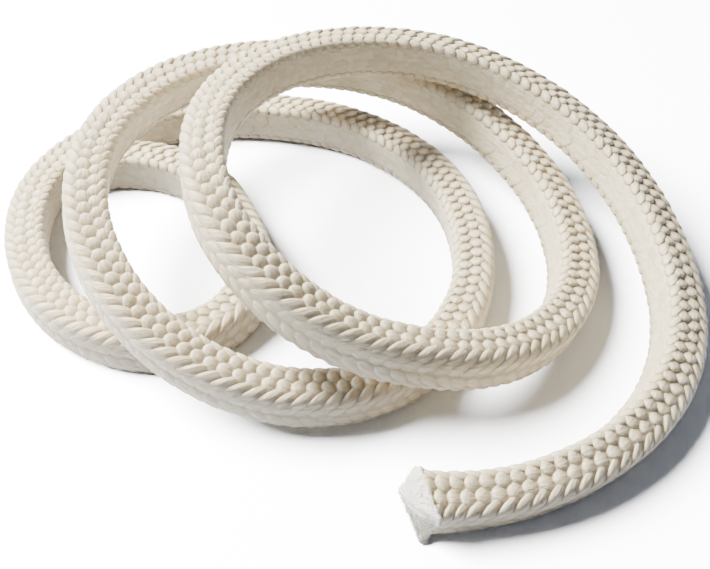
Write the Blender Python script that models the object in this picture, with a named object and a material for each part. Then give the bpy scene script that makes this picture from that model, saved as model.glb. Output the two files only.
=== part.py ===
"""Square braided packing rope, coiled loosely in about three turns, with a cut end lying in front.

Metres, +Z up. Angles run round the coil from its near side (-Y) over its right side (+X) to its far
and left sides. Each turn lies further left than the one before it and leans on it, and the last one
curls in on the floor under the others.
"""

from math import atan2, cos, hypot, radians, sin

import bmesh
import bpy
from mathutils import Vector

ROPE_SIDE = 0.012         # side of the square section, over the tows
CORNER_RADIUS = 0.0024    # rounding of the section's corners
TOW_RELIEF = 0.0005       # height of a tow over the dip beside it
TOW_ROWS = 246            # tows end to end in each column
COIL_RADIUS = 0.055       # usual radius of a turn, to the middle of the rope
TURN_SHIFT_X = -0.017     # where the next turn lies, to the right
TURN_SHIFT_Y = 0.015      # where the next turn lies, away from the near side
START_ANGLE = -11.3       # place of the cut end in front, degrees
CURL_ANGLE = 1048.0       # place where the rope leaves the last turn and curls in, degrees
FIRST_STATION = -90.0     # angle of the first station, degrees
STATION_STEP = 90.0       # angle from one station to the next, degrees
ROUTE_STEP = 1.5          # angle between two points of the measured route, degrees
CUT_OUTWARDS = 0.39       # how far the cut end slants along the rope towards its outer side
CUT_UPWARDS = 0.30        # how far the cut end slants along the rope towards its top
CUT_REACH = 0.010         # length over which the rows of tows follow the slanted cuts
INNER_CUT_INWARDS = 0.7   # how far the inner end's cut slants along the rope towards its inner side

# Stations at each quarter turn, near, right, far and left: how far the turn stands out beyond its
# usual radius and how high its lowest corner lies over the floor, both in rope sides, and how many
# degrees its top leans outwards. The first and the last only steer the two ends.
STATIONS = (
    (1.90, 0.30, 7),
    (0.15, 0.00, 17),
    (0.60, 0.15, 25),
    (1.20, 2.45, 7),
    (-0.55, 3.30, -1),
    (-1.05, 1.45, -6),
    (0.00, 0.00, 21),
    (0.55, 1.65, 4),
    (0.70, 2.25, -10),
    (0.40, 0.30, 8),
    (-0.85, 0.00, -3),
    (-0.60, 0.00, 5),
    (1.20, 0.05, 0),
    (-0.75, 0.00, 0),
    (-9.20, 0.00, -6),
)

# The inner end's curl on the floor, arc by arc: degrees turned, and the arc's radius in rope sides.
CURL_ARCS = (
    (25, 2.24),
    (50, 1.93),
    (46, 2.25),
    (10, 10.8),
    (72, 2.86),
)


def spline(column, place):
    """Smooth value of one column of the stations, at a place counted in stations."""
    last = len(STATIONS) - 1
    first = min(max(int(place), 0), last - 1)
    t = place - first
    before = STATIONS[max(first - 1, 0)][column]
    a = STATIONS[first][column]
    b = STATIONS[first + 1][column]
    after = STATIONS[min(first + 2, last)][column]
    slope_a = (b - before) / 2
    slope_b = (after - a) / 2
    return (a * (1 + 2 * t) * (1 - t) ** 2 + slope_a * t * (1 - t) ** 2
            + b * t * t * (3 - 2 * t) - slope_b * t * t * (1 - t))


def section():
    """The twelve tows round the square section, two to a side and one on each corner."""
    half = ROPE_SIDE / 2
    corner = half - CORNER_RADIUS * (1 - cos(radians(45)))
    side = (half - CORNER_RADIUS) / 2
    quarter = [(corner, corner), (side, half), (-side, half)]
    points = []
    for _ in range(4):
        points.extend(quarter)
        quarter = [(-y, x) for x, y in quarter]
    return points


def lowest(points, lean):
    """How far the lowest tow lies under the rope's middle when its top leans outwards."""
    return max(-(up * cos(lean) - out * sin(lean)) for out, up in points)


def on_coil(angle, points):
    """Middle of the rope at an angle round the coil, and the lean of its top there."""
    place = (angle - FIRST_STATION) / STATION_STEP
    radius = COIL_RADIUS + ROPE_SIDE * spline(0, place)
    lean = radians(spline(2, place))
    height = ROPE_SIDE * max(spline(1, place), 0.0) + lowest(points, lean)
    turns = angle / 360
    a = radians(angle)
    middle = Vector((TURN_SHIFT_X * turns + radius * sin(a),
                     TURN_SHIFT_Y * turns - radius * cos(a),
                     height))
    return middle, lean


def route(points):
    """Closely spaced middles of the whole rope, its lean at each, and the length run so far."""
    steps = round((CURL_ANGLE - START_ANGLE) / ROUTE_STEP)
    places = [START_ANGLE + (CURL_ANGLE - START_ANGLE) * i / steps for i in range(steps + 1)]
    stops = [on_coil(angle, points) for angle in places]
    middle, lean = stops[-1]
    floor = lowest(points, 0.0)
    ahead = middle - stops[-2][0]
    heading = atan2(ahead.y, ahead.x)
    lift = middle.z - floor
    for turn, sides in CURL_ARCS:
        radius = sides * ROPE_SIDE
        steps = max(round(turn / ROUTE_STEP / 2), 2)
        for _ in range(steps):
            heading += radians(turn) / steps
            step = radians(turn) * radius / steps
            lift *= 0.9
            lean *= 0.9
            middle = Vector((middle.x + step * cos(heading), middle.y + step * sin(heading), floor + lift))
            stops.append((middle, lean))
    run = [0.0]
    for before, after in zip(stops, stops[1:]):
        run.append(run[-1] + (after[0] - before[0]).length)
    return [stop[0] for stop in stops], [stop[1] for stop in stops], run


def even_places(run, count):
    """Evenly spaced places along the rope: the stop before each, and the share of the way on."""
    places = []
    j = 0
    for i in range(count):
        want = run[-1] * i / (count - 1)
        while j < len(run) - 2 and run[j + 1] < want:
            j += 1
        places.append((j, (want - run[j]) / (run[j + 1] - run[j])))
    return places


def ring(middles, leans, run, points, row, place):
    """One ring of tows, square to the rope but for the slanted cuts, every other tow standing out."""
    j, share = place
    last = len(middles) - 1
    way_here = middles[j + 1] - middles[max(j - 1, 0)]
    way_next = middles[min(j + 2, last)] - middles[j]
    ahead = way_here.normalized().lerp(way_next.normalized(), share)
    ahead.normalize()
    middle = middles[j].lerp(middles[j + 1], share)
    lean = leans[j] + share * (leans[j + 1] - leans[j])
    flat = hypot(ahead.x, ahead.y)
    outwards = Vector((ahead.y / flat, -ahead.x / flat, 0.0))
    upwards = outwards.cross(ahead)
    out_axis = outwards * cos(lean) - upwards * sin(lean)
    up_axis = upwards * cos(lean) + outwards * sin(lean)
    gone = run[j] + share * (run[j + 1] - run[j])
    slant = max(1 - gone / CUT_REACH, 0.0)
    inner_slant = max(1 - (run[-1] - gone) / CUT_REACH, 0.0)
    tows = []
    for column, (out, up) in enumerate(points):
        size = 1.0
        if (row + column) % 2:
            size = 1.0 - TOW_RELIEF / hypot(out, up)
        along = slant * (CUT_OUTWARDS * out + CUT_UPWARDS * up) - inner_slant * INNER_CUT_INWARDS * out
        tows.append(middle + out_axis * (out * size) + up_axis * (up * size) + ahead * (along * size))
    return tows


def build_rope():
    """Loft of the tow rings along the coil, closed at both ends by the flat cuts."""
    points = section()
    rows = 2 * TOW_ROWS
    middles, leans, run = route(points)
    places = even_places(run, rows)
    rings = [ring(middles, leans, run, points, row, place) for row, place in enumerate(places)]
    everything = [tow for tows in rings for tow in tows]
    low = Vector([min(p[i] for p in everything) for i in range(3)])
    high = Vector([max(p[i] for p in everything) for i in range(3)])
    origin = Vector(((low.x + high.x) / 2, (low.y + high.y) / 2, low.z))

    bm = bmesh.new()
    loops = [[bm.verts.new(p - origin) for p in tows] for tows in rings]
    around = len(points)
    for row in range(rows - 1):
        for column in range(around):
            after = (column + 1) % around
            a = loops[row][column]
            b = loops[row][after]
            c = loops[row + 1][after]
            d = loops[row + 1][column]
            if (row + column) % 2:
                bm.faces.new((a, b, c))
                bm.faces.new((a, c, d))
            else:
                bm.faces.new((b, c, d))
                bm.faces.new((b, d, a))
    bm.faces.new(list(reversed(loops[0])))
    bm.faces.new(loops[-1])
    bmesh.ops.recalc_face_normals(bm, faces=bm.faces)
    mesh = bpy.data.meshes.new("packing_rope")
    bm.to_mesh(mesh)
    bm.free()
    rope = bpy.data.objects.new("packing_rope", mesh)
    return rope, run[-1]


def braid_material():
    """Cream braided fibre."""
    material = bpy.data.materials.new("cream_braid")
    material.use_nodes = True
    shader = material.node_tree.nodes["Principled BSDF"]
    shader.inputs["Base Color"].default_value = (0.78, 0.72, 0.62, 1.0)
    shader.inputs["Roughness"].default_value = 0.6
    shader.inputs["Metallic"].default_value = 0.0
    return material


for old in list(bpy.data.objects):
    bpy.data.objects.remove(old, do_unlink=True)

coil = bpy.data.collections.new("gland_packing_rope")
bpy.context.scene.collection.children.link(coil)
packing_rope, rope_length = build_rope()
packing_rope.data.materials.append(braid_material())
coil.objects.link(packing_rope)
print(f"rope {rope_length * 1000:.0f} mm long")
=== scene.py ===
from math import atan2, cos, pi, radians, sin

import bpy
import numpy as np
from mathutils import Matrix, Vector, noise


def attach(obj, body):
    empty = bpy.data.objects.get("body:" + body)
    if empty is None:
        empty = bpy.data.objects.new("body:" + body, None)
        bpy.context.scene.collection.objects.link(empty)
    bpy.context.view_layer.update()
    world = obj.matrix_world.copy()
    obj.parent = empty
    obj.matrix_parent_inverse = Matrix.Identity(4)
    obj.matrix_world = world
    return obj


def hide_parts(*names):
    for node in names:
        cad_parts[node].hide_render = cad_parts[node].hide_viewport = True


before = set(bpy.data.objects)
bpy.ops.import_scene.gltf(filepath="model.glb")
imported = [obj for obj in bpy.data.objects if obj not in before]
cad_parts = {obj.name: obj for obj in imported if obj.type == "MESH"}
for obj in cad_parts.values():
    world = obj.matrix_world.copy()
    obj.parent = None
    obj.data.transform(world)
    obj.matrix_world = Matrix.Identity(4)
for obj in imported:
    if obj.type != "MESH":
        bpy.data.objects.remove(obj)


def writeSize():
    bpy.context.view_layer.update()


writeSize()
scene = bpy.context.scene
rng = np.random.default_rng(7)


def placed(name, data):
    made = bpy.data.objects.new(name, data)
    scene.collection.objects.link(made)
    return made


# The focal length and the frame's width are in pixels of the photograph.
shot = {
    "elevation": 44.76,
    "distance": 0.2981,
    "aim": (0.0038, 0.0034, 0.0),
    "focal": 1091.5,
    "frameWidth": 710,
    "sensor": 36.0,
    "nearest": 0.01,
}
camData = bpy.data.cameras.new("camera")
camData.sensor_width = shot["sensor"]
camData.lens = shot["focal"] / shot["frameWidth"] * shot["sensor"]
camData.clip_start = shot["nearest"]
camera = placed("camera", camData)
elevation = radians(shot["elevation"])
aimX, aimY, aimZ = shot["aim"]
camera.location = (
    aimX,
    aimY - shot["distance"] * cos(elevation),
    aimZ + shot["distance"] * sin(elevation),
)
camera.rotation_euler = (pi / 2 - elevation, 0, 0)
scene.camera = camera
print("camera", round(camData.lens, 1))

# The rope's route is worked out as in the part's source. A station gives, at each quarter turn,
# the radius beyond the usual one and the height over the floor, in sides, and the lean in degrees.
rope = {
    "side": 0.012,
    "cornerRadius": 0.0024,
    "coilRadius": 0.055,
    "shiftX": -0.017,
    "shiftY": 0.015,
    "start": -11.3,
    "curlFrom": 1048.0,
    "routeStep": 1.5,
    "firstStation": -90.0,
    "stationStep": 90.0,
    "settle": 0.9,
    "cutOutwards": 0.39,
    "cutUpwards": 0.30,
    "cutReach": 0.010,
    "innerCut": 0.7,
    "pathPoints": 260,
    "origin": (-0.0286, 0.0147, 0.0),
    "stations": (
        (1.90, 0.30, 7),
        (0.15, 0.00, 17),
        (0.60, 0.15, 25),
        (1.20, 2.45, 7),
        (-0.55, 3.30, -1),
        (-1.05, 1.45, -6),
        (0.00, 0.00, 21),
        (0.55, 1.65, 4),
        (0.70, 2.25, -10),
        (0.40, 0.30, 8),
        (-0.85, 0.00, -3),
        (-0.60, 0.00, 5),
        (1.20, 0.05, 0),
        (-0.75, 0.00, 0),
        (-9.20, 0.00, -6),
    ),
    "curlArcs": ((25, 2.24), (50, 1.93), (46, 2.25), (10, 10.8), (72, 2.86)),
}
stations = np.array(rope["stations"])


def between(column, place):
    last = len(stations) - 1
    first = np.clip(place.astype(int), 0, last - 1)
    t = place - first
    before = stations[np.maximum(first - 1, 0), column]
    a = stations[first, column]
    b = stations[first + 1, column]
    after = stations[np.minimum(first + 2, last), column]
    slopeA = (b - before) / 2
    slopeB = (after - a) / 2
    return (a * (1 + 2 * t) * (1 - t) ** 2 + slopeA * t * (1 - t) ** 2
            + b * t * t * (3 - 2 * t) - slopeB * t * t * (1 - t))


def lowestCorner(lean):
    half = rope["side"] / 2
    corner = half - rope["cornerRadius"] * (1 - cos(radians(45)))
    flank = (half - rope["cornerRadius"]) / 2
    spots = [(x, y) for x in (corner, -corner) for y in (corner, -corner)]
    spots += [(x, y) for x in (flank, -flank) for y in (half, -half)]
    spots += [(x, y) for x in (half, -half) for y in (flank, -flank)]
    return np.max([-(y * np.cos(lean) - x * np.sin(lean)) for x, y in spots], axis=0)


def ropeRoute():
    steps = round((rope["curlFrom"] - rope["start"]) / rope["routeStep"])
    angle = np.linspace(rope["start"], rope["curlFrom"], steps + 1)
    place = (angle - rope["firstStation"]) / rope["stationStep"]
    radius = rope["coilRadius"] + rope["side"] * between(0, place)
    lean = np.radians(between(2, place))
    height = rope["side"] * np.maximum(between(1, place), 0) + lowestCorner(lean)
    turn = angle / 360
    a = np.radians(angle)
    stops = np.stack([
        rope["shiftX"] * turn + radius * np.sin(a),
        rope["shiftY"] * turn - radius * np.cos(a),
        height,
    ], axis=-1).tolist()
    tilts = lean.tolist()
    floorHeight = float(lowestCorner(np.zeros(1))[0])
    x, y, z = stops[-1]
    heading = atan2(y - stops[-2][1], x - stops[-2][0])
    lift = z - floorHeight
    tilt = tilts[-1]
    for arc, sides in rope["curlArcs"]:
        steps = max(round(arc / rope["routeStep"] / 2), 2)
        step = radians(arc) * sides * rope["side"] / steps
        for _ in range(steps):
            heading += radians(arc) / steps
            lift *= rope["settle"]
            tilt *= rope["settle"]
            x += step * cos(heading)
            y += step * sin(heading)
            stops.append((x, y, floorHeight + lift))
            tilts.append(tilt)
    return np.array(stops) - np.array(rope["origin"]), np.array(tilts)


middles, leans = ropeRoute()
run = np.concatenate([[0], np.cumsum(np.linalg.norm(np.diff(middles, axis=0), axis=1))])
length = float(run[-1])
ahead = np.gradient(middles, axis=0)
ahead /= np.linalg.norm(ahead, axis=1)[:, None]
outwards = np.stack([ahead[:, 1], -ahead[:, 0], 0 * leans], axis=1)
outwards /= np.linalg.norm(outwards, axis=1)[:, None]
upwards = np.cross(outwards, ahead)
leanCos = np.cos(leans)[:, None]
leanSin = np.sin(leans)[:, None]
outAxis = outwards * leanCos - upwards * leanSin
upAxis = upwards * leanCos + outwards * leanSin


def look(table, at):
    return np.stack([np.interp(at, run, table[:, i]) for i in range(3)], axis=-1)


def sectionAt(w, lift, half, radius):
    # w counts sides round the rounded square: 0 is the top's middle, 1 the outside's.
    side = np.floor(w + 0.5)
    flat = half - radius
    x = (w - side) * 2 * (flat + radius * pi / 4)
    turn = np.sign(x) * np.clip(np.abs(x) - flat, 0, None) / radius
    px = np.clip(x, -flat, flat) + np.sin(turn) * (radius + lift)
    py = flat + np.cos(turn) * (radius + lift)
    q = side * pi / 2
    return px * np.cos(q) + py * np.sin(q), py * np.cos(q) - px * np.sin(q)


def roundSection(points):
    return (np.arange(points) + 0.5) / points * 4 - 0.5


# The rope swells towards the cut end in front, over its top and its inner side.
swelling = {
    "length": 0.026,
    "inner": 0.30,
    "top": 0.22,
    "fullAt": 0.006,
}


def onRope(at, out, up):
    # World points from metres along the rope and outwards and upwards in its section.
    slant = np.clip(1 - at / rope["cutReach"], 0, 1)
    innerSlant = np.clip(1 - (length - at) / rope["cutReach"], 0, 1)
    shift = slant * (rope["cutOutwards"] * out + rope["cutUpwards"] * up)
    shift = shift - innerSlant * rope["innerCut"] * out
    swell = np.clip(1 - at / swelling["length"], 0, 1) ** 2
    inner = np.where(out < 0, swelling["inner"], 0.0) * np.clip(up / swelling["fullAt"], 0, 1)
    out = out * (1 + swell * inner)
    up = up * (1 + swell * np.where(up > 0, swelling["top"], 0.0))
    return (look(middles, at) + look(outAxis, at) * out[..., None]
            + look(upAxis, at) * up[..., None] + look(ahead, at) * shift[..., None])


print("rope", round(length, 4))

# Lengths and heights are in metres, and the vary values are shares but for slantVary, in metres,
# and placeVary, in sides.
braid = {
    "pitch": 0.00352,
    "coreHalf": 0.0053,
    "coreRadius": 0.0020,
    "coreRow": 0.0018,
    "coreRound": 32,
    "grid": 8,
    "bunched": 0.93,
    "domePower": 0.9,
    "domeLeast": 0.02,
    "tilt": 0.00062,
    "tiltFrom": 0.2,
    "sunk": 0.00028,
    "pointed": 0.16,
    "lengthVary": 0.07,
    "cornerLengthVary": 0.06,
    "widthVary": 0.06,
    "heightVary": 0.10,
    "slantVary": 0.0003,
    "placeVary": 0.012,
    "ends": 0.0015,
    "trim": 0.0003,
}
grid = braid["grid"]
quarter = pi / 2 * braid["bunched"]
line = np.sin(np.linspace(-quarter, quarter, grid)) / sin(quarter)
rawA, rawB = np.meshgrid(line, line, indexing="ij")
patchA = rawA * np.sqrt(1 - 0.5 * rawB ** 2)
patchB = rawB * np.sqrt(1 - 0.5 * rawA ** 2)
dome = np.sqrt(np.clip(1 - patchA ** 2 - patchB ** 2, 0, 1)) ** braid["domePower"]


def crown(height, vary, nose):
    # The nose, towards the cut end, stands over the tail of the tow before it.
    raised = height * dome * (1 + braid["heightVary"] * vary)
    return raised + braid["tilt"] * (nose - braid["tiltFrom"]) - braid["sunk"]


# The two columns of tows on a side. A tow is a dome: length, width and height are half sizes,
# width, spread and shifted count sides. A flattened tow has a plateau, a plain one little painted
# shade in its grooves.
flatTow = {
    "length": 0.0025,
    "width": 0.236,
    "height": 0.00094,
    "fall": 0.3,
    "flattened": 0.0,
    "nose": 1.0,
    "slant": 0.0,
    "spread": 0.160,
    "shifted": -0.085,
    "plain": 0.0,
}
outsideTow = {
    "length": 0.0031,
    "width": 0.26,
    "height": 0.00058,
    "fall": 0.0,
    "flattened": 0.0,
    "nose": 0.45,
    "slant": 0.0012,
    "spread": 0.20,
    "shifted": 0.0,
    "plain": 0.35,
}
insideTow = {
    "length": 0.00434,
    "width": 0.325,
    "height": 0.00056,
    "fall": 0.0,
    "flattened": 0.5,
    "nose": 0.12,
    "slant": 0.0012,
    "spread": 0.20,
    "shifted": 0.0,
    "plain": 0.97,
}
sideTows = {"top": flatTow, "outside": outsideTow, "bottom": flatTow, "inside": insideTow}


def sideTow(tow, at, w, way, vary):
    size = tow["length"] * (1 + braid["lengthVary"] * vary[0])
    width = tow["width"] * (1 + braid["widthVary"] * vary[1])
    slant = braid["slantVary"] * vary[2] + tow["slant"] * way
    plateau = np.maximum(dome, braid["domeLeast"]) ** -tow["flattened"]
    height = tow["height"] * (1 - tow["fall"] * patchA) * plateau
    along = at + patchA * size + slant * patchB
    pointed = 1 + braid["pointed"] * patchA
    across = w + braid["placeVary"] * vary[3] + patchB * pointed * width
    return along, across, crown(height, vary[3], -patchA * tow["nose"])


# Leaves start on the outer flank, turn over the corner and slant in. A corner tow lies slanted,
# so its half width has a share across, in sides, and a share along the rope, in metres.
leafTow = {
    "length": 0.0030,
    "reach": 0.27,
    "tail": 1,
    "tailReach": 0.36,
    "widthAcross": 0.09225,
    "widthAlong": 0.00162,
    "height": 0.00092,
}
innerTow = {
    "length": 0.0023,
    "reach": 0.17,
    "tail": 0,
    "tailReach": 0.17,
    "widthAcross": 0.144,
    "widthAlong": 0.001728,
    "height": 0.00085,
}
cornerShape = {
    "slim": 0.25,
    "bend": 0.25,
    "bendFrom": 0.4,
    "tailLonger": 0.5,
    "tailLower": 0.45,
    "phase": -0.35,
}
cornerTows = (
    {"tow": leafTow, "side": "top", "corner": 0.40, "way": -1, "phase": 0.1},
    {"tow": innerTow, "side": "top", "corner": -0.51, "way": 1, "phase": 0.55},
    {"tow": leafTow, "side": "bottom", "corner": 1.60, "way": 1, "phase": 0.1},
    {"tow": innerTow, "side": "bottom", "corner": 2.51, "way": -1, "phase": 0.55},
)


def cornerTow(tow, at, corner, way, vary):
    size = tow["length"] * (1 + braid["cornerLengthVary"] * vary[0])
    slim = 1 - cornerShape["slim"] * np.clip(patchA, 0, 1) ** 2
    aside = patchB * slim * (1 + braid["widthVary"] * vary[1]) * way
    bend = cornerShape["bend"] * (patchA ** 2 - cornerShape["bendFrom"])
    tail = np.clip(-patchA, 0, 1) * tow["tail"]
    across = (patchA + bend) * tow["reach"] - tail * (tow["tailReach"] - tow["reach"])
    across = across + aside * tow["widthAcross"]
    along = patchA * size * (1 + cornerShape["tailLonger"] * tail) - aside * tow["widthAlong"]
    height = tow["height"] * (1 - cornerShape["tailLower"] * tail)
    nose = patchB * way * (1 - tail)
    return at + along, corner + way * across, crown(height, vary[2], nose)


def pointValues(mesh, name, values):
    made = mesh.attributes.new(name, "FLOAT", "POINT")
    made.data.foreach_set("value", values.astype(np.float32))


def meshOf(name, patches, tints, rises):
    verts = np.concatenate([p.reshape(-1, 3) for p in patches])
    n = grid * grid
    i = np.arange(grid - 1)
    first = (i[:, None] * grid + i[None, :]).ravel()
    quad = np.stack([first, first + grid, first + grid + 1, first + 1], axis=1)
    faces = (np.arange(len(patches))[:, None, None] * n + quad[None]).reshape(-1, 4)
    mesh = bpy.data.meshes.new(name)
    mesh.vertices.add(len(verts))
    mesh.vertices.foreach_set("co", verts.ravel())
    mesh.loops.add(faces.size)
    mesh.loops.foreach_set("vertex_index", faces.ravel().astype(np.int32))
    mesh.polygons.add(len(faces))
    mesh.polygons.foreach_set("loop_start", (np.arange(len(faces)) * 4).astype(np.int32))
    mesh.polygons.foreach_set("use_smooth", np.ones(len(faces), dtype=bool))
    mesh.update(calc_edges=True)
    uv = mesh.uv_layers.new(name="tow")
    local = np.stack([rawB * 0.5 + 0.5, rawA * 0.5 + 0.5], axis=-1).reshape(-1, 2)
    uv.data.foreach_set("uv", np.tile(local[quad.ravel()], (len(patches), 1)).ravel())
    pointValues(mesh, "tint", np.repeat(tints, n))
    pointValues(mesh, "rise", np.concatenate([r.ravel() for r in rises]))
    return placed(name, mesh)


tows = {side: ([], [], []) for side in sideTows}


def addTow(side, shape, plain):
    along, across, lift = shape
    if along.min() > length - braid["ends"] or along.max() < braid["ends"]:
        return
    along = np.clip(along, braid["trim"], length - braid["trim"])
    out, up = sectionAt(across, lift, braid["coreHalf"], braid["coreRadius"])
    tows[side][0].append(onRope(along, out, up))
    tows[side][1].append(rng.uniform())
    # This share of the tow's rise sets the painted shade in its grooves and on its tail; plain
    # tows get less.
    tows[side][2].append(1 - (1 - lift / lift.max()) * (1 - plain))


pitch = braid["pitch"]
for k in range(-1, int(length / pitch) + 3):
    base = (k + 0.5) * pitch
    for number, (side, tow) in enumerate(sideTows.items()):
        for way, phase in ((-1, 0.0), (1, 0.5)):
            w = number + way * tow["spread"] + tow["shifted"]
            shape = sideTow(tow, base + phase * pitch, w, way, rng.uniform(-1, 1, 4))
            addTow(side, shape, tow["plain"])
    for spot in cornerTows:
        at = base + (spot["phase"] + cornerShape["phase"]) * pitch
        vary = rng.uniform(-1, 1, 4)
        addTow(spot["side"], cornerTow(spot["tow"], at, spot["corner"], spot["way"], vary), 0.0)
towPieces = [meshOf("tows_" + side, *tows[side]) for side in sideTows]
print("tows", [len(tows[side][0]) for side in sideTows])


def tubeMesh(name, points, closed):
    rows, columns = points.shape[:2]
    i = np.arange(rows - 1)[:, None]
    j = np.arange(columns)[None, :]
    nextJ = (j + 1) % columns
    faces = np.stack([i * columns + j, i * columns + nextJ, (i + 1) * columns + nextJ,
                      (i + 1) * columns + j], axis=-1).reshape(-1, 4).tolist()
    if closed:
        lastRow = range((rows - 1) * columns, rows * columns)
        faces += [list(range(columns)), list(lastRow)[::-1]]
    mesh = bpy.data.meshes.new(name)
    mesh.from_pydata(points.reshape(-1, 3).tolist(), [], faces)
    mesh.update()
    for poly in mesh.polygons:
        poly.use_smooth = len(poly.vertices) == 4
    return placed(name, mesh)


rings = int(length / braid["coreRow"])
atRing = np.repeat(np.linspace(0.0, length, rings)[:, None], braid["coreRound"], axis=1)
roundCore = np.tile(roundSection(braid["coreRound"]), (rings, 1))
coreSection = sectionAt(roundCore, 0 * roundCore, braid["coreHalf"], braid["coreRadius"])
braidCore = tubeMesh("braid_core", onRope(atRing, *coreSection), True)

# A collar row gives its lift, its share of the collar's depth, and how far the lumps swell it and
# the streaks pull it along. Its last row is the rim, where the face begins. A face row gives its
# share of the rim's size. The flap stands out over the face's upper inner half, and the nub at
# its lower outer corner.
cutEnd = {
    "round": 128,
    "collar": 0.0013,
    "half": 0.0059,
    "radius": 0.0024,
    "collarRows": (
        (-0.00056, 1.0, 0.3, 0.0),
        (0.0, 0.72, 1.2, 1.0),
        (0.0001, 0.45, 1.2, 0.3),
        (0.00015, 0.2, 1.2, 0.3),
        (0.0001, 0.0, 0.0, 0.0),
    ),
    "faceRows": (0.95, 0.88, 0.79, 0.69, 0.58, 0.47, 0.36, 0.25, 0.14, 0.05),
    "bulge": 0.0009,
    "streakScale": 700,
    "hairScale": 3300,
    "hairDepthScale": 260,
    "streaks": 0.45,
    "hairs": 0.75,
    "rough": 0.00045,
    "faceRough": 0.2,
    "pull": 0.0012,
    "flap": 0.0006,
    "flapEdge": 0.0016,
    "flapFrom": 0.6,
    "nub": 0.0021,
    "nubAt": (0.005, -0.0045),
    "nubWidth": 0.0012,
    "nubOnFace": 0.4,
    "nubForwards": 0.4,
}


def noiseAt(x, y, z):
    return np.array([noise.noise(Vector(spot)) for spot in zip(x, y, z)])


def matted(name, atEnd):
    # The tows end in a matted collar that turns in over the cut face.
    w = roundSection(cutEnd["round"])
    rim = len(cutEnd["collarRows"]) - 1
    rows = []
    for lift, share, swell, pull in cutEnd["collarRows"]:
        out, up = sectionAt(w, 0 * w + lift, cutEnd["half"], cutEnd["radius"])
        rows.append((out, up, share * cutEnd["collar"] + 0 * w, swell, pull))
    rimOut, rimUp = sectionAt(w, 0 * w, cutEnd["half"], cutEnd["radius"])
    for share in cutEnd["faceRows"]:
        depth = -cutEnd["bulge"] * (1 - share ** 3) + 0 * w
        rows.append((rimOut * share, rimUp * share, depth, 0.0, 0.0))
    last = len(rows) - 1
    points = []
    for number, (out, up, depth, swell, pull) in enumerate(rows):
        face = number >= rim
        streak = noiseAt(out * cutEnd["streakScale"], up * cutEnd["streakScale"],
                         0 * w + 3.0 * face)
        hairs = noiseAt(out * cutEnd["hairScale"] + 5, up * cutEnd["hairScale"],
                        depth * cutEnd["hairDepthScale"])
        lumps = (streak * cutEnd["streaks"] + hairs * cutEnd["hairs"]) * cutEnd["rough"]
        if number > rim + 1 and not atEnd:
            over = (up - out) / cutEnd["flapEdge"] + cutEnd["flapFrom"]
            depth = depth - cutEnd["flap"] * np.clip(over, 0, 1)
        if face:
            depth = depth - lumps * cutEnd["faceRough"] * min(number, last - number)
        else:
            scale = 1 + lumps / cutEnd["half"] * swell
            out, up = out * scale, up * scale
            depth = depth + streak * cutEnd["pull"] * pull
        if not atEnd:
            nubX, nubY = cutEnd["nubAt"]
            near = np.exp(-((out - nubX) ** 2 + (up - nubY) ** 2) / cutEnd["nubWidth"] ** 2)
            near = near * cutEnd["nub"] * (1 if number < rim + 2 else cutEnd["nubOnFace"])
            out = out + near
            depth = depth - near * cutEnd["nubForwards"]
        at = np.maximum(depth, 0)
        past = np.minimum(depth, 0)
        if atEnd:
            at = length - at
            past = -past
        points.append(onRope(at, out, up) + look(ahead, at) * past[:, None])
    made = tubeMesh(name, np.array(points), False)
    mesh = made.data
    shares = [row[1] for row in cutEnd["collarRows"]] + [0.0] * len(cutEnd["faceRows"])
    pointValues(mesh, "tint", np.repeat(shares, cutEnd["round"]))
    uv = mesh.uv_layers.new(name="tow")
    flat = np.concatenate([np.stack(row[:2], axis=-1) for row in rows]) / rope["side"] + 0.5
    loops = np.zeros(len(mesh.loops), dtype=np.int32)
    mesh.loops.foreach_get("vertex_index", loops)
    uv.data.foreach_set("uv", flat[loops].ravel())
    return made


fibres = {
    "count": 110,
    "steps": 7,
    "thick": 0.00009,
    "taper": 0.7,
    "radius": 0.0055,
    "within": (0.6, 1.1),
    "startEdge": 0.0056,
    "endEdge": 0.0062,
    "reach": 0.0040,
    "bend": 0.0016,
    "nubEvery": 5,
    "nubAt": (0.0042, -0.0042),
    "nubSpread": 0.0012,
    "nubReach": (0.0008, 0.0026),
    "nubSway": 0.0006,
    "nubEdge": 0.0075,
    "fallFrom": 0.006,
    "clear": 0.0002,
    "arch": 0.0003,
}


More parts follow.
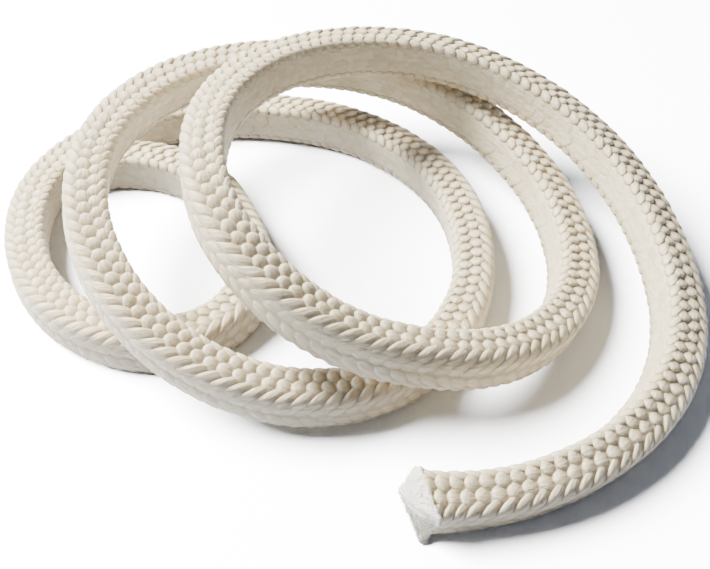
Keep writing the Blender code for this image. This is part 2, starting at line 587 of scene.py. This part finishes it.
def looseFibres(name):
    # Fine hairs lie matted over the cut face, and some stand out at its lowest corner.
    t = np.linspace(0, 1, fibres["steps"])[:, None]
    thick = fibres["thick"] * (1 - fibres["taper"] * t[:, 0])
    lift = fibres["clear"] + fibres["arch"] * np.sin(t[:, 0] * pi)
    points = []
    for number in range(fibres["count"]):
        atNub = number % fibres["nubEvery"] == 0
        q = rng.uniform(0, 2 * pi)
        start = np.array([cos(q), sin(q)]) * rng.uniform(*fibres["within"]) * fibres["radius"]
        start = np.clip(start, -fibres["startEdge"], fibres["startEdge"])
        bend = rng.uniform(-1, 1, 2) * fibres["bend"]
        end = start + rng.uniform(-1, 1, 2) * fibres["reach"]
        if atNub:
            start = np.array(fibres["nubAt"]) + rng.uniform(-1, 1, 2) * fibres["nubSpread"]
            sway = fibres["nubSway"]
            end = start + np.array([rng.uniform(*fibres["nubReach"]), rng.uniform(-sway, sway)])
        end = np.clip(end, -fibres["endEdge"], fibres["nubEdge" if atNub else "endEdge"])
        hair = start * (1 - t) + end * t + bend * (t * (1 - t)) * 2
        hair[:, 1] = np.maximum(hair[:, 1], -fibres["startEdge"])
        fall = (np.abs(hair).max(axis=1) / fibres["fallFrom"]) ** 3
        off = cutEnd["bulge"] * (1 - fall) + lift
        for turn in np.linspace(0, 2 * pi, 4)[:3]:
            out = hair[:, 0] + thick * cos(turn)
            up = hair[:, 1] + thick * sin(turn)
            points.append(onRope(0 * out, out, up) - look(ahead, 0 * out) * off[:, None])
    strips = np.array(points).reshape(fibres["count"], 3, fibres["steps"], 3)
    verts = strips.transpose(0, 2, 1, 3).reshape(-1, 3)
    faces = []
    for first in range(0, len(verts), 3 * fibres["steps"]):
        for i in range(fibres["steps"] - 1):
            for j in range(3):
                a = first + i * 3 + j
                b = first + i * 3 + (j + 1) % 3
                faces.append((a, b, b + 3, a + 3))
    mesh = bpy.data.meshes.new(name)
    mesh.from_pydata(verts.tolist(), [], faces)
    mesh.uv_layers.new(name="tow")
    return placed(name, mesh)


cutPieces = [matted("cut_end", False), matted("inner_end", True), looseFibres("cut_hairs")]
print("cut ends")


class Wire:
    def __init__(self, tree, socket):
        self.tree = tree
        self.socket = socket

    def math(self, operation, *others):
        node = self.tree.nodes.new("ShaderNodeMath")
        node.operation = operation
        for put, value in zip(node.inputs, (self,) + others):
            join(self.tree, value, put)
        return Wire(self.tree, node.outputs[0])

    def clipped(self, low, high):
        return self.math("MAXIMUM", low).math("MINIMUM", high)

    def __add__(self, other):
        return self.math("ADD", other)

    def __mul__(self, other):
        return self.math("MULTIPLY", other)

    def __sub__(self, other):
        return self.math("SUBTRACT", other)

    def __rsub__(self, other):
        return (self * -1).math("ADD", other)

    __radd__ = __add__
    __rmul__ = __mul__


def join(tree, value, put):
    if isinstance(value, Wire):
        tree.links.new(value.socket, put)
    else:
        put.default_value = value


class Finish:
    def __init__(self, owner, shader="Principled BSDF"):
        owner.use_nodes = True
        self.owner = owner
        self.tree = owner.node_tree
        self.shader = self.tree.nodes[shader]

    def node(self, kind, settings=None, output=0, sockets=None):
        made = self.tree.nodes.new(kind)
        for key, value in (settings or {}).items():
            setattr(made, key, value)
        for key, value in (sockets or {}).items():
            join(self.tree, value, made.inputs[key])
        return Wire(self.tree, made.outputs[output])

    def mix(self, share, a, b):
        return self.node("ShaderNodeMix", {"data_type": "RGBA"}, 2, {0: share, 6: a, 7: b})

    def noise(self, vector, scale, detail, rough, distortion=0.0):
        return self.node("ShaderNodeTexNoise", None, 0, {
            "Vector": vector,
            "Scale": scale,
            "Detail": detail,
            "Roughness": rough,
            "Distortion": distortion,
        })

    def value(self, name):
        return self.node("ShaderNodeAttribute", {"attribute_name": name}, 2)

    def part(self, vector, axis):
        return self.node("ShaderNodeSeparateXYZ", None, axis, {"Vector": vector})

    def bump(self, height, strength, distance):
        return self.node("ShaderNodeBump", None, 0, {
            "Strength": strength,
            "Distance": distance,
            "Height": height,
        })

    def feed(self, **sockets):
        for key, value in sockets.items():
            join(self.tree, value, self.shader.inputs[key.replace("_", " ")])


yarn = {
    "cream": (0.91, 0.82, 0.63, 1),
    "warm": (0.76, 0.64, 0.45, 1),
    "pale": (0.95, 0.905, 0.745, 1),
    # A dark brown painted shade for the grooves between the tows.
    "grooveShade": (0.27, 0.21, 0.14, 1),
    # Painted shade on each tow's tail.
    "tail": (0.66, 0.55, 0.41, 1),
    "fibresAcross": 3.3,
    "fibresAlong": 0.9,
    "tintAcross": 71,
    "tintAside": 19,
    "fibreScale": 1.6,
    "patchScale": 38.0,
    "fuzzScale": 1500.0,
    "creamSteep": 1.7,
    "creamFrom": 0.35,
    "creamTint": 0.25,
    "warmFrom": 0.58,
    "warmSteep": 3.4,
    "warmTint": 0.4,
    # The next four set the painted shade in the grooves, which also warms the colour there.
    "warmInGrooveShade": 0.2,
    "grooveShadeFrom": 0.86,
    "grooveShadeSteep": 1.7,
    "grooveShadeShare": 0.50,
    # The next four set the painted shade on the tows' tails.
    "tailShadeFrom": 0.26,
    "tailShadeSteep": 1.3,
    "tailShadeMost": 0.66,
    "tailShadeRise": 1.6,
    "fibreBump": 0.75,
    "fuzzBump": 0.25,
    "bump": 0.0005,
    "rough": 0.36,
    "roughVary": 0.22,
    "specular": 0.45,
    "subsurface": 0.12,
    "subsurfaceRadius": (1.0, 0.7, 0.4),
    "subsurfaceScale": 0.0012,
}


def towFinish():
    # Fibres run along each tow; its tail is darkened as painted shade, and the grooves between the
    # tows are darkened brown as painted shade.
    finish = Finish(bpy.data.materials.new("braid_tow"))
    place = finish.node("ShaderNodeUVMap", {"uv_map": "tow"})
    here = finish.node("ShaderNodeTexCoord", None, 3)
    u = finish.part(place, 0)
    v = finish.part(place, 1)
    tint = finish.value("tint")
    rise = finish.value("rise")
    # Painted shade: strongest where a tow sinks low between its neighbours.
    grooveShade = ((yarn["grooveShadeFrom"] - rise) * yarn["grooveShadeSteep"]).clipped(0.0, 1.0)
    strands = finish.node("ShaderNodeCombineXYZ", None, 0, {
        "X": u * yarn["fibresAcross"] + tint * yarn["tintAcross"],
        "Y": v * yarn["fibresAlong"],
        "Z": tint * yarn["tintAside"],
    })
    fibre = finish.noise(strands, yarn["fibreScale"], 3.0, 0.6)
    patches = finish.noise(here, yarn["patchScale"], 2.0, 0.5)
    fuzz = finish.noise(here, yarn["fuzzScale"], 2.0, 0.6)
    creamy = patches * yarn["creamSteep"] - yarn["creamFrom"] + tint * yarn["creamTint"]
    colour = finish.mix(creamy.math("MINIMUM", 1.0), yarn["pale"], yarn["cream"])
    warm = (yarn["warmFrom"] - fibre) * yarn["warmSteep"] + (tint - 0.5) * yarn["warmTint"]
    # The painted groove shade also pushes the colour towards warm.
    warm = (warm + grooveShade * yarn["warmInGrooveShade"]).clipped(0.0, 1.0)
    colour = finish.mix(warm, colour, yarn["warm"])
    # Painted shade on each tow's tail, most where it sinks low.
    tail = ((v - yarn["tailShadeFrom"]) * yarn["tailShadeSteep"]).clipped(0.0, yarn["tailShadeMost"])
    tail = tail * (yarn["tailShadeRise"] - rise).math("MINIMUM", 1.0)
    colour = finish.mix(tail, colour, yarn["tail"])
    # Lay the painted groove shade over the colour.
    colour = finish.mix(grooveShade * yarn["grooveShadeShare"], colour, yarn["grooveShade"])
    height = fibre * yarn["fibreBump"] + fuzz * yarn["fuzzBump"]
    finish.feed(
        Base_Color=colour,
        Roughness=yarn["rough"] + (1 - fibre) * yarn["roughVary"],
        Normal=finish.bump(height, 1.0, yarn["bump"]),
        Subsurface_Weight=yarn["subsurface"],
        Subsurface_Radius=yarn["subsurfaceRadius"],
        Subsurface_Scale=yarn["subsurfaceScale"],
        Specular_IOR_Level=yarn["specular"],
    )
    return finish.owner


coreYarn = {
    "dark": (0.60, 0.51, 0.37, 1),
    "light": (0.80, 0.72, 0.55, 1),
    "fuzzScale": 900.0,
    "bump": 0.0003,
    "rough": 0.7,
    "roughVary": 0.2,
}


def coreFinish():
    finish = Finish(bpy.data.materials.new("braid_core"))
    here = finish.node("ShaderNodeTexCoord", None, 3)
    fuzz = finish.noise(here, coreYarn["fuzzScale"], 3.0, 0.6)
    finish.feed(
        Base_Color=finish.mix(fuzz, coreYarn["dark"], coreYarn["light"]),
        Roughness=coreYarn["rough"] + fuzz * coreYarn["roughVary"],
        Normal=finish.bump(fuzz, 0.5, coreYarn["bump"]),
    )
    return finish.owner


cutYarn = {
    # The first colour is the face's lit copy, partly the fibres' own white and partly painted
    # highlight; the two greys are its shaded copy, painted shade crossed by fibre lines.
    "litWhite": (0.97, 0.975, 0.94, 1),
    "shadedGrey": (0.16, 0.15, 0.13, 1),
    "shadedLightGrey": (0.42, 0.40, 0.36, 1),
    "streakTurn": 40,
    "streakScale": (26, 4, 1),
    "fuzzScale": 1300.0,
    # These set where the lit white gives way to the painted shade.
    "litWhiteSteep": 3.2,
    "litWhiteFrom": 0.75,
    "litWhiteStreak": 1.6,
    "litWhiteFuzz": 0.9,
    "litWhiteCollar": 0.8,
    # These place the painted highlight along the ridge.
    "ridgeHighlightAt": 0.07,
    "ridgeHighlightSteep": 9,
    "ridgeHighlightStreak": 0.2,
    "hatchScale": 9.0,
    "hatchDistortion": 6.0,
    "collarShare": 1.2,
    "collarMost": 0.85,
    "streakBump": 0.55,
    "fuzzBump": 0.45,
    "bump": 0.0005,
    "rough": 0.16,
    "roughVary": 0.4,
    "subsurface": 0.2,
    "subsurfaceRadius": (1.0, 0.9, 0.8),
    "subsurfaceScale": 0.0015,
}


def cutFinish():
    # The cut face is white over its upper inner part, partly the fibres' own white and partly
    # painted highlight, with a painted highlight along a ridge in the middle; grey beyond it is
    # painted shade, crossed by fibre lines.
    finish = Finish(bpy.data.materials.new("matted_cut"))
    place = finish.node("ShaderNodeUVMap", {"uv_map": "tow"})
    here = finish.node("ShaderNodeTexCoord", None, 3)
    turned = finish.node("ShaderNodeMapping", None, 0, {
        "Vector": place,
        "Rotation": (0, 0, radians(cutYarn["streakTurn"])),
        "Scale": cutYarn["streakScale"],
    })
    streak = finish.noise(turned, 1.0, 4.0, 0.65, 0.8)
    fuzz = finish.noise(here, cutYarn["fuzzScale"], 3.0, 0.65)
    collar = finish.value("tint")
    slope = finish.part(place, 1) - finish.part(place, 0)
    # Share of the lit white against the painted shade, by where a point lies on the face.
    litWhite = slope * cutYarn["litWhiteSteep"] + cutYarn["litWhiteFrom"]
    litWhite = litWhite + (streak - 0.5) * cutYarn["litWhiteStreak"] + (fuzz - 0.5) * cutYarn["litWhiteFuzz"]
    # A painted highlight along the ridge in the middle.
    offRidgeHighlight = slope + cutYarn["ridgeHighlightAt"] + (streak - 0.5) * cutYarn["ridgeHighlightStreak"]
    ridgeHighlight = (1 - offRidgeHighlight.math("ABSOLUTE") * cutYarn["ridgeHighlightSteep"]).math("MAXIMUM", 0.0)
    share = (litWhite + collar * cutYarn["litWhiteCollar"] + ridgeHighlight).clipped(0.0, 1.0)
    hatch = finish.node("ShaderNodeTexWave", {"bands_direction": "DIAGONAL"}, 1, {
        "Vector": place,
        "Scale": cutYarn["hatchScale"],
        "Distortion": cutYarn["hatchDistortion"],
        "Detail": 2.0,
    })
    # Painted shade in grey, crossed by fibre lines.
    shadedGrey = finish.mix(hatch, cutYarn["shadedGrey"], cutYarn["shadedLightGrey"])
    colour = finish.mix(share, shadedGrey, cutYarn["litWhite"])
    inCollar = (collar * cutYarn["collarShare"]).math("MINIMUM", cutYarn["collarMost"])
    height = streak * cutYarn["streakBump"] + fuzz * cutYarn["fuzzBump"]
    finish.feed(
        Base_Color=finish.mix(inCollar, colour, yarn["pale"]),
        Roughness=cutYarn["rough"] + (1 - share) * cutYarn["roughVary"],
        Normal=finish.bump(height, 1.0, cutYarn["bump"]),
        Subsurface_Weight=cutYarn["subsurface"],
        Subsurface_Radius=cutYarn["subsurfaceRadius"],
        Subsurface_Scale=cutYarn["subsurfaceScale"],
    )
    return finish.owner


towMaterial = towFinish()
cutMaterial = cutFinish()
dressed = [(braidCore, coreFinish())]
dressed += [(piece, towMaterial) for piece in towPieces]
dressed += [(piece, cutMaterial) for piece in cutPieces]
for piece, material in dressed:
    piece.data.materials.append(material)
    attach(piece, "root")
    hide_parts("packing_rope")

# The floor has a light of its own, so that it stays white between soft shadows.
studio = {
    "floor": (0.92, 0.92, 0.92, 1),
    "floorHalf": 3,
    "floorBelow": 0.0002,
    "floorRough": 0.6,
    "floorRoughVary": 0.1,
    "grainScale": 400.0,
    "sky": 0.31,
    "skyTint": (0.73, 0.82, 1.0, 1),
    "skyFullAt": 0.60,
    "skyLow": 0.08,
}
lights = {
    "key": {
        "from": (-0.58, 0.38, 0.74),
        "size": 0.32,
        "energy": 49.0,
        "tint": (1.0, 0.94, 0.77),
    },
    "fill": {
        "from": (-0.92, -0.08, 0.30),
        "size": 0.5,
        "energy": 12.0,
        "tint": (1.0, 0.99, 0.96),
    },
    "key_floor": {
        "from": (-0.72, 0.10, 0.80),
        "size": 0.74,
        "energy": 290.0,
        "tint": (1, 1, 1),
    },
}
reach = studio["floorHalf"]
floorMesh = bpy.data.meshes.new("floor")
floorCorners = [(-reach, -reach, 0), (reach, -reach, 0), (reach, reach, 0), (-reach, reach, 0)]
floorMesh.from_pydata(floorCorners, [], [(0, 1, 2, 3)])
floor = placed("floor", floorMesh)
floor.location.z = -studio["floorBelow"]
floor.visible_diffuse = False
paper = Finish(bpy.data.materials.new("white_floor"))
grain = paper.noise(paper.node("ShaderNodeTexCoord", None, 3), studio["grainScale"], 2.0, 0.5)
paper.feed(
    Base_Color=studio["floor"],
    Roughness=studio["floorRough"] + grain * studio["floorRoughVary"],
)
floorMesh.materials.append(paper.owner)
floorOnly = bpy.data.collections.new("floor_only")
floorOnly.objects.link(floor)
ropeOnly = bpy.data.collections.new("rope_only")
for piece, material in dressed:
    ropeOnly.objects.link(piece)

scene.world = bpy.data.worlds.new("soft_white")
sky = Finish(scene.world, "Background")
upness = sky.part(sky.node("ShaderNodeTexCoord"), 2)
risen = sky.node("ShaderNodeMapRange", None, 0, {
    "Value": upness,
    "From Max": studio["skyFullAt"],
    "To Min": studio["skyLow"],
})
sky.feed(Strength=studio["sky"], Color=sky.mix(risen, (0, 0, 0, 1), studio["skyTint"]))


def areaLight(name, only):
    data = bpy.data.lights.new(name, "AREA")
    data.shape = "DISK"
    data.size = lights[name]["size"]
    data.energy = lights[name]["energy"]
    data.color = lights[name]["tint"]
    lamp = placed(name, data)
    lamp.location = lights[name]["from"]
    lamp.rotation_euler = (-lamp.location).to_track_quat("-Z", "Y").to_euler()
    lamp.light_linking.receiver_collection = only


areaLight("key", ropeOnly)
areaLight("fill", ropeOnly)
areaLight("key_floor", floorOnly)
print("studio")
writeSize()
